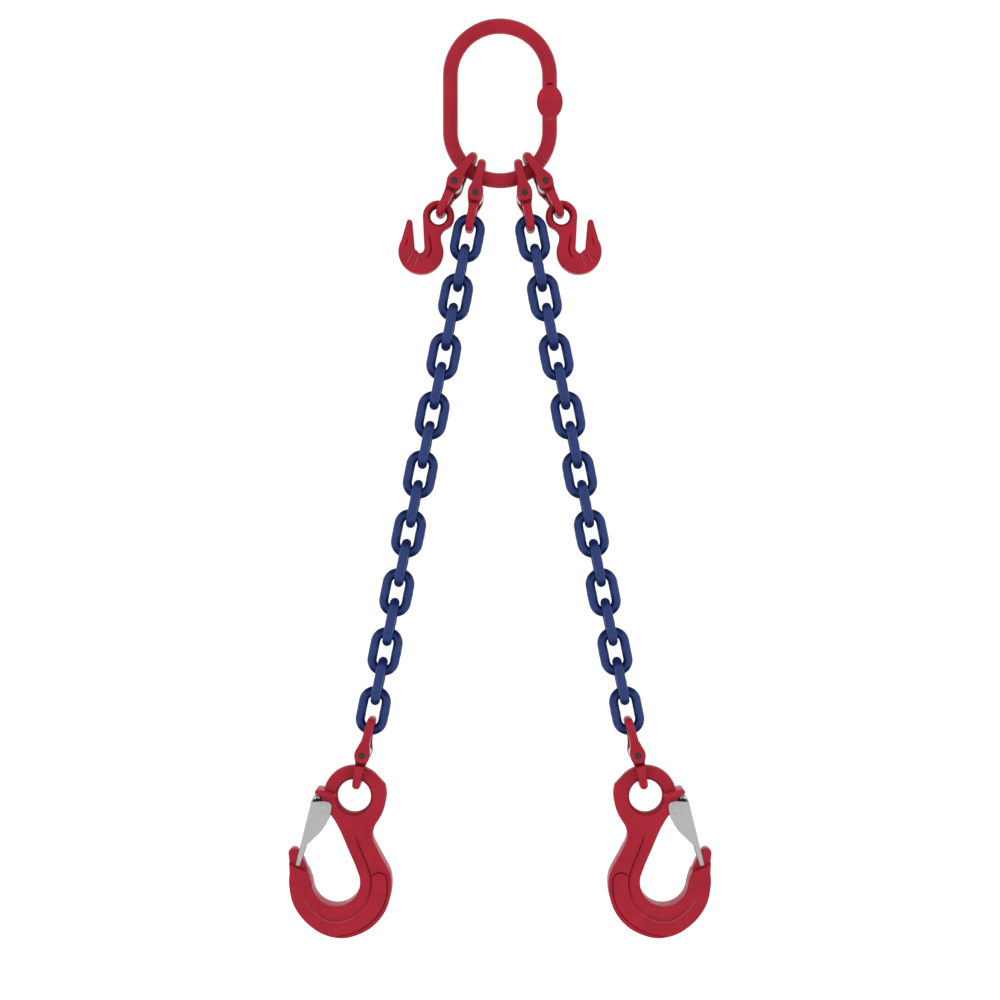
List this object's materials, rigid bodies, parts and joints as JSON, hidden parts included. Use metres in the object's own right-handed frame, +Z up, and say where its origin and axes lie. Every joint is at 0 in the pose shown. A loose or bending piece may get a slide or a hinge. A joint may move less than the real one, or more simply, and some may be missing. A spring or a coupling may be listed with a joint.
{
  "type": "two-leg chain sling",
  "caption": "Lifting chain sling: oblong master link, coupling links, chain legs, shortening grab hooks and eye sling hooks with sprung safety latches.",
  "frame": {"origin": "inner crown of the master link, where a crane hook carries the sling", "axes": "+Z up, along the hanging sling; +X across the two legs, from the left leg to the right; +Y from front to back, along every pin"},
  "size_m": [0.4216, 0.042, 0.9168],
  "materials": {
    "red_paint": "glossy red powder coat over forged alloy steel",
    "blue_paint": "semi-gloss blue coating over welded alloy chain",
    "pin_steel": "dark oiled steel",
    "zinc_plate": "dull zinc plate"
  },
  "bodies": {
    "root": {"master_link": "red_paint"},
    "left_top_upper": {"left_top_upper_half": "red_paint", "left_top_load_pin": "pin_steel"},
    "left_top_lower": {"left_top_lower_half": "red_paint"},
    "left_link_01": {"left_link_01": "blue_paint"},
    "left_link_02": {"left_link_02": "blue_paint"},
    "left_link_03": {"left_link_03": "blue_paint"},
    "left_link_04": {"left_link_04": "blue_paint"},
    "left_link_05": {"left_link_05": "blue_paint"},
    "left_link_06": {"left_link_06": "blue_paint"},
    "left_link_07": {"left_link_07": "blue_paint"},
    "left_link_08": {"left_link_08": "blue_paint"},
    "left_link_09": {"left_link_09": "blue_paint"},
    "left_link_10": {"left_link_10": "blue_paint"},
    "left_link_11": {"left_link_11": "blue_paint"},
    "left_link_12": {"left_link_12": "blue_paint"},
    "left_link_13": {"left_link_13": "blue_paint"},
    "left_link_14": {"left_link_14": "blue_paint"},
    "left_link_15": {"left_link_15": "blue_paint"},
    "left_link_16": {"left_link_16": "blue_paint"},
    "left_link_17": {"left_link_17": "blue_paint"},
    "left_bottom_upper": {"left_bottom_upper_half": "red_paint", "left_bottom_load_pin": "pin_steel"},
    "left_bottom_lower": {"left_bottom_lower_half": "red_paint"},
    "left_sling_hook": {"left_sling_hook": "red_paint"},
    "left_latch": {"left_latch": "zinc_plate"},
    "left_shortener_upper": {"left_shortener_upper_half": "red_paint", "left_shortener_load_pin": "pin_steel"},
    "left_shortener_lower": {"left_shortener_lower_half": "red_paint"},
    "left_grab_hook": {"left_grab_hook": "red_paint"},
    "right_top_upper": {"right_top_upper_half": "red_paint", "right_top_load_pin": "pin_steel"},
    "right_top_lower": {"right_top_lower_half": "red_paint"},
    "right_link_01": {"right_link_01": "blue_paint"},
    "right_link_02": {"right_link_02": "blue_paint"},
    "right_link_03": {"right_link_03": "blue_paint"},
    "right_link_04": {"right_link_04": "blue_paint"},
    "right_link_05": {"right_link_05": "blue_paint"},
    "right_link_06": {"right_link_06": "blue_paint"},
    "right_link_07": {"right_link_07": "blue_paint"},
    "right_link_08": {"right_link_08": "blue_paint"},
    "right_link_09": {"right_link_09": "blue_paint"},
    "right_link_10": {"right_link_10": "blue_paint"},
    "right_link_11": {"right_link_11": "blue_paint"},
    "right_link_12": {"right_link_12": "blue_paint"},
    "right_link_13": {"right_link_13": "blue_paint"},
    "right_link_14": {"right_link_14": "blue_paint"},
    "right_link_15": {"right_link_15": "blue_paint"},
    "right_link_16": {"right_link_16": "blue_paint"},
    "right_link_17": {"right_link_17": "blue_paint"},
    "right_bottom_upper": {"right_bottom_upper_half": "red_paint", "right_bottom_load_pin": "pin_steel"},
    "right_bottom_lower": {"right_bottom_lower_half": "red_paint"},
    "right_sling_hook": {"right_sling_hook": "red_paint"},
    "right_latch": {"right_latch": "zinc_plate"},
    "right_shortener_upper": {"right_shortener_upper_half": "red_paint", "right_shortener_load_pin": "pin_steel"},
    "right_shortener_lower": {"right_shortener_lower_half": "red_paint"},
    "right_grab_hook": {"right_grab_hook": "red_paint"}
  },
  "joints": [
    {"name": "left_latch_hinge", "type": "hinge", "parent": "left_sling_hook", "child": "left_latch", "pos_m": [-0.17592, 0, -0.77371], "axis": [0, -1, 0], "range_deg": [0, 40], "stiffness_Nm_per_rad": 0.05, "springref_deg": -34.38},
    {"name": "right_latch_hinge", "type": "hinge", "parent": "right_sling_hook", "child": "right_latch", "pos_m": [0.17592, 0, -0.77371], "axis": [0, 1, 0], "range_deg": [0, 40], "stiffness_Nm_per_rad": 0.05, "springref_deg": -34.38},
    {"name": "left_sling_hook_swing", "type": "hinge", "parent": "left_bottom_lower", "child": "left_sling_hook", "pos_m": [-0.14307, 0, -0.75067], "axis": [0, 1, 0], "range_deg": [-50, 60]},
    {"name": "right_sling_hook_swing", "type": "hinge", "parent": "right_bottom_lower", "child": "right_sling_hook", "pos_m": [0.14307, 0, -0.75067], "axis": [0, -1, 0], "range_deg": [-50, 60]},
    {"name": "left_grab_hook_swing", "type": "hinge", "parent": "left_shortener_lower", "child": "left_grab_hook", "pos_m": [-0.05979, 0, -0.1803], "axis": [0, -1, 0], "range_deg": [-90, 8]},
    {"name": "right_grab_hook_swing", "type": "hinge", "parent": "right_shortener_lower", "child": "right_grab_hook", "pos_m": [0.05979, 0, -0.1803], "axis": [0, 1, 0], "range_deg": [-90, 8]},
    {"name": "left_shortener_lower_fold", "type": "hinge", "parent": "left_shortener_upper", "child": "left_shortener_lower", "pos_m": [-0.04493, 0, -0.1514], "axis": [0, 1, 0], "range_deg": [0, 90]},
    {"name": "right_shortener_lower_fold", "type": "hinge", "parent": "right_shortener_upper", "child": "right_shortener_lower", "pos_m": [0.04493, 0, -0.1514], "axis": [0, -1, 0], "range_deg": [0, 90]},
    {"name": "left_shortener_upper_swing", "type": "hinge", "parent": "root", "child": "left_shortener_upper", "pos_m": [-0.03364, 0, -0.13465], "axis": [-0.829, 0, 0.5592], "range_deg": [-75, 75]},
    {"name": "right_shortener_upper_swing", "type": "hinge", "parent": "root", "child": "right_shortener_upper", "pos_m": [0.03364, 0, -0.13465], "axis": [-0.829, 0, -0.5592], "range_deg": [-75, 75]},
    {"name": "left_bottom_lower_fold", "type": "hinge", "parent": "left_bottom_upper", "child": "left_bottom_lower", "pos_m": [-0.13631, 0, -0.71888], "axis": [0, -1, 0], "range_deg": [-75, 75]},
    {"name": "right_bottom_lower_fold", "type": "hinge", "parent": "right_bottom_upper", "child": "right_bottom_lower", "pos_m": [0.13631, 0, -0.71888], "axis": [0, 1, 0], "range_deg": [-75, 75]},
    {"name": "left_bottom_upper_swing", "type": "hinge", "parent": "left_link_17", "child": "left_bottom_upper", "pos_m": [-0.13055, 0, -0.69661], "axis": [0.9808, 0, -0.1953], "range_deg": [-75, 75]},
    {"name": "right_bottom_upper_swing", "type": "hinge", "parent": "right_link_17", "child": "right_bottom_upper", "pos_m": [0.13055, 0, -0.69661], "axis": [0.9808, 0, 0.1953], "range_deg": [-75, 75]},
    {"name": "left_top_lower_fold", "type": "hinge", "parent": "left_top_upper", "child": "left_top_lower", "pos_m": [-0.02436, 0, -0.16322], "axis": [0, -1, 0], "range_deg": [-2, 15]},
    {"name": "right_top_lower_fold", "type": "hinge", "parent": "right_top_upper", "child": "right_top_lower", "pos_m": [0.02436, 0, -0.16322], "axis": [0, 1, 0], "range_deg": [-2, 15]},
    {"name": "left_top_upper_swing", "type": "hinge", "parent": "root", "child": "left_top_upper", "pos_m": [-0.02041, 0, -0.14341], "axis": [0.9808, 0, -0.1953], "range_deg": [-50, 50]},
    {"name": "right_top_upper_swing", "type": "hinge", "parent": "root", "child": "right_top_upper", "pos_m": [0.02041, 0, -0.14341], "axis": [0.9808, 0, 0.1953], "range_deg": [-50, 50]},
    {"name": "left_link_01_swing", "type": "hinge", "parent": "left_top_lower", "child": "left_link_01", "pos_m": [-0.0307, 0, -0.19509], "axis": [0, 1, 0], "range_deg": [-15, 12]},
    {"name": "right_link_01_swing", "type": "hinge", "parent": "right_top_lower", "child": "right_link_01", "pos_m": [0.0307, 0, -0.19509], "axis": [0, -1, 0], "range_deg": [-15, 12]},
    {"name": "left_link_02_swing", "type": "hinge", "parent": "left_link_01", "child": "left_link_02", "pos_m": [-0.03658, 0, -0.22459], "axis": [-0.9808, 0, 0.1953], "range_deg": [-75, 75]},
    {"name": "right_link_02_swing", "type": "hinge", "parent": "right_link_01", "child": "right_link_02", "pos_m": [0.03658, 0, -0.22459], "axis": [-0.9808, 0, -0.1953], "range_deg": [-75, 75]},
    {"name": "left_link_03_swing", "type": "hinge", "parent": "left_link_02", "child": "left_link_03", "pos_m": [-0.04245, 0, -0.25409], "axis": [0, -1, 0], "range_deg": [-50, 17]},
    {"name": "right_link_03_swing", "type": "hinge", "parent": "right_link_02", "child": "right_link_03", "pos_m": [0.04245, 0, -0.25409], "axis": [0, 1, 0], "range_deg": [-50, 17]},
    {"name": "left_link_04_swing", "type": "hinge", "parent": "left_link_03", "child": "left_link_04", "pos_m": [-0.04832, 0, -0.28359], "axis": [0.9808, 0, -0.1953], "range_deg": [-75, 75]},
    {"name": "right_link_04_swing", "type": "hinge", "parent": "right_link_03", "child": "right_link_04", "pos_m": [0.04832, 0, -0.28359], "axis": [0.9808, 0, 0.1953], "range_deg": [-75, 75]},
    {"name": "left_link_05_swing", "type": "hinge", "parent": "left_link_04", "child": "left_link_05", "pos_m": [-0.0542, 0, -0.3131], "axis": [0, 1, 0], "range_deg": [-18, 60]},
    {"name": "right_link_05_swing", "type": "hinge", "parent": "right_link_04", "child": "right_link_05", "pos_m": [0.0542, 0, -0.3131], "axis": [0, -1, 0], "range_deg": [-18, 60]},
    {"name": "left_link_06_swing", "type": "hinge", "parent": "left_link_05", "child": "left_link_06", "pos_m": [-0.06007, 0, -0.3426], "axis": [-0.9808, 0, 0.1953], "range_deg": [-75, 75]},
    {"name": "right_link_06_swing", "type": "hinge", "parent": "right_link_05", "child": "right_link_06", "pos_m": [0.06007, 0, -0.3426], "axis": [-0.9808, 0, -0.1953], "range_deg": [-75, 75]},
    {"name": "left_link_07_swing", "type": "hinge", "parent": "left_link_06", "child": "left_link_07", "pos_m": [-0.06594, 0, -0.3721], "axis": [0, -1, 0], "range_deg": [-60, 20]},
    {"name": "right_link_07_swing", "type": "hinge", "parent": "right_link_06", "child": "right_link_07", "pos_m": [0.06594, 0, -0.3721], "axis": [0, 1, 0], "range_deg": [-60, 20]},
    {"name": "left_link_08_swing", "type": "hinge", "parent": "left_link_07", "child": "left_link_08", "pos_m": [-0.07182, 0, -0.4016], "axis": [0.9808, 0, -0.1953], "range_deg": [-75, 75]},
    {"name": "right_link_08_swing", "type": "hinge", "parent": "right_link_07", "child": "right_link_08", "pos_m": [0.07182, 0, -0.4016], "axis": [0.9808, 0, 0.1953], "range_deg": [-75, 75]},
    {"name": "left_link_09_swing", "type": "hinge", "parent": "left_link_08", "child": "left_link_09", "pos_m": [-0.07769, 0, -0.4311], "axis": [0, 1, 0], "range_deg": [-24, 60]},
    {"name": "right_link_09_swing", "type": "hinge", "parent": "right_link_08", "child": "right_link_09", "pos_m": [0.07769, 0, -0.4311], "axis": [0, -1, 0], "range_deg": [-24, 60]},
    {"name": "left_link_10_swing", "type": "hinge", "parent": "left_link_09", "child": "left_link_10", "pos_m": [-0.08356, 0, -0.4606], "axis": [-0.9808, 0, 0.1953], "range_deg": [-75, 75]},
    {"name": "right_link_10_swing", "type": "hinge", "parent": "right_link_09", "child": "right_link_10", "pos_m": [0.08356, 0, -0.4606], "axis": [-0.9808, 0, -0.1953], "range_deg": [-75, 75]},
    {"name": "left_link_11_swing", "type": "hinge", "parent": "left_link_10", "child": "left_link_11", "pos_m": [-0.08944, 0, -0.4901], "axis": [0, -1, 0], "range_deg": [-60, 28]},
    {"name": "right_link_11_swing", "type": "hinge", "parent": "right_link_10", "child": "right_link_11", "pos_m": [0.08944, 0, -0.4901], "axis": [0, 1, 0], "range_deg": [-60, 28]},
    {"name": "left_link_12_swing", "type": "hinge", "parent": "left_link_11", "child": "left_link_12", "pos_m": [-0.09531, 0, -0.5196], "axis": [0.9808, 0, -0.1953], "range_deg": [-75, 75]},
    {"name": "right_link_12_swing", "type": "hinge", "parent": "right_link_11", "child": "right_link_12", "pos_m": [0.09531, 0, -0.5196], "axis": [0.9808, 0, 0.1953], "range_deg": [-75, 75]},
    {"name": "left_link_13_swing", "type": "hinge", "parent": "left_link_12", "child": "left_link_13", "pos_m": [-0.10118, 0, -0.5491], "axis": [0, 1, 0], "range_deg": [-35, 60]},
    {"name": "right_link_13_swing", "type": "hinge", "parent": "right_link_12", "child": "right_link_13", "pos_m": [0.10118, 0, -0.5491], "axis": [0, -1, 0], "range_deg": [-35, 60]},
    {"name": "left_link_14_swing", "type": "hinge", "parent": "left_link_13", "child": "left_link_14", "pos_m": [-0.10706, 0, -0.5786], "axis": [-0.9808, 0, 0.1953], "range_deg": [-75, 75]},
    {"name": "right_link_14_swing", "type": "hinge", "parent": "right_link_13", "child": "right_link_14", "pos_m": [0.10706, 0, -0.5786], "axis": [-0.9808, 0, -0.1953], "range_deg": [-75, 75]},
    {"name": "left_link_15_swing", "type": "hinge", "parent": "left_link_14", "child": "left_link_15", "pos_m": [-0.11293, 0, -0.60811], "axis": [0, -1, 0], "range_deg": [-60, 45]},
    {"name": "right_link_15_swing", "type": "hinge", "parent": "right_link_14", "child": "right_link_15", "pos_m": [0.11293, 0, -0.60811], "axis": [0, 1, 0], "range_deg": [-60, 45]},
    {"name": "left_link_16_swing", "type": "hinge", "parent": "left_link_15", "child": "left_link_16", "pos_m": [-0.1188, 0, -0.63761], "axis": [0.9808, 0, -0.1953], "range_deg": [-75, 75]},
    {"name": "right_link_16_swing", "type": "hinge", "parent": "right_link_15", "child": "right_link_16", "pos_m": [0.1188, 0, -0.63761], "axis": [0.9808, 0, 0.1953], "range_deg": [-75, 75]},
    {"name": "left_link_17_swing", "type": "hinge", "parent": "left_link_16", "child": "left_link_17", "pos_m": [-0.12468, 0, -0.66711], "axis": [0, 1, 0], "range_deg": [-60, 60]},
    {"name": "right_link_17_swing", "type": "hinge", "parent": "right_link_16", "child": "right_link_17", "pos_m": [0.12468, 0, -0.66711], "axis": [0, -1, 0], "range_deg": [-60, 60]}
  ]
}
